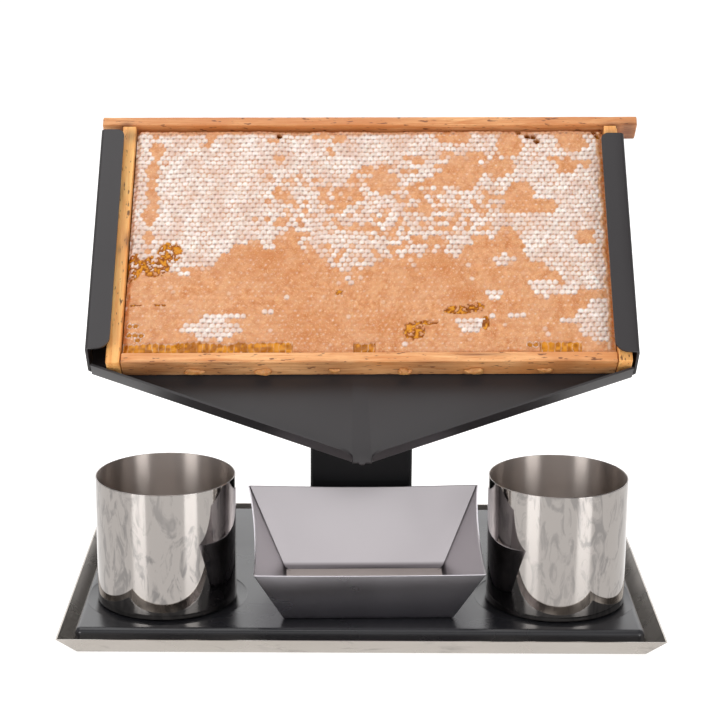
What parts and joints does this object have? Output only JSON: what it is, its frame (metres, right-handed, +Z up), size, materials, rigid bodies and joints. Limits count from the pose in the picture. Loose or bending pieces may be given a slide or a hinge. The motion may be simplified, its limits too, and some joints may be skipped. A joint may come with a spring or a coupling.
{
  "type": "comb honey serving stand",
  "caption": "Buffet stand: a leaning V-bottomed steel holder drips honey from a framed comb into a square bowl, with a steel cup on each side, on a deck in a shallow tray.",
  "frame": {"origin": "centre of the drip tray's flat underside", "axes": "+Z up, +X to the right when facing the comb, +Y to the back"},
  "size_m": [0.4944, 0.3476, 0.3925],
  "materials": {
    "polished_steel": "polished stainless steel",
    "satin_steel": "satin stainless steel",
    "black_coat": "satin black powder coat",
    "column_coat": "matt black powder coat",
    "fastener_steel": "zinc plated",
    "foot_rubber": "matt",
    "pine": "bare planed pine, stained by wax",
    "beeswax": "beeswax, slightly translucent",
    "capped_comb": "wax cappings over honey"
  },
  "bodies": {
    "tray": {"drip_tray": "polished_steel"},
    "stand": {"deck": "black_coat", "deck_foot_1": "foot_rubber", "deck_foot_2": "foot_rubber", "deck_foot_3": "foot_rubber", "deck_foot_4": "foot_rubber", "deck_backing_plate": "fastener_steel", "column": "column_coat", "column_screw_1": "fastener_steel", "column_screw_2": "fastener_steel", "column_screw_3": "fastener_steel", "column_screw_4": "fastener_steel", "head_bracket": "column_coat", "comb_holder": "black_coat", "holder_screw_1": "fastener_steel", "holder_screw_2": "fastener_steel", "holder_screw_3": "fastener_steel", "holder_screw_4": "fastener_steel", "holder_washer_1": "fastener_steel", "holder_washer_2": "fastener_steel", "holder_washer_3": "fastener_steel", "holder_washer_4": "fastener_steel", "holder_nut_1": "fastener_steel", "holder_nut_2": "fastener_steel", "holder_nut_3": "fastener_steel", "holder_nut_4": "fastener_steel"},
    "comb_frame": {"top_bar": "pine", "left_side_bar": "pine", "right_side_bar": "pine", "bottom_bar": "pine", "foundation": "beeswax", "comb_front": "capped_comb", "comb_back": "capped_comb", "frame_nail_1": "fastener_steel", "frame_nail_2": "fastener_steel", "frame_nail_3": "fastener_steel", "frame_nail_4": "fastener_steel", "frame_nail_5": "fastener_steel", "frame_nail_6": "fastener_steel", "frame_nail_7": "fastener_steel", "frame_nail_8": "fastener_steel", "wax_bead_1": "beeswax", "wax_bead_2": "beeswax", "wax_bead_3": "beeswax", "wax_bead_4": "beeswax", "wax_bead_5": "beeswax", "wax_bead_6": "beeswax"},
    "bowl": {"drip_bowl": "satin_steel"},
    "left_cup": {"left_cup": "polished_steel"},
    "right_cup": {"right_cup": "polished_steel"}
  },
  "joints": [
    {"name": "stand_lift", "type": "slide", "parent": "tray", "child": "stand", "axis": [0, 0, 1], "range_m": [0, 0.05]},
    {"name": "frame_slide", "type": "slide", "parent": "stand", "child": "comb_frame", "axis": [0, 0.6947, 0.7193], "range_m": [0, 0.26]},
    {"name": "bowl_slide", "type": "slide", "parent": "stand", "child": "bowl", "axis": [-0.048, -0.9386, 0.3416], "range_m": [0, 0.2]},
    {"name": "left_cup_lift", "type": "slide", "parent": "stand", "child": "left_cup", "axis": [0, -0.7071, 0.7071], "range_m": [0, 0.25]},
    {"name": "right_cup_lift", "type": "slide", "parent": "stand", "child": "right_cup", "axis": [0, -0.7071, 0.7071], "range_m": [0, 0.25]}
  ]
}
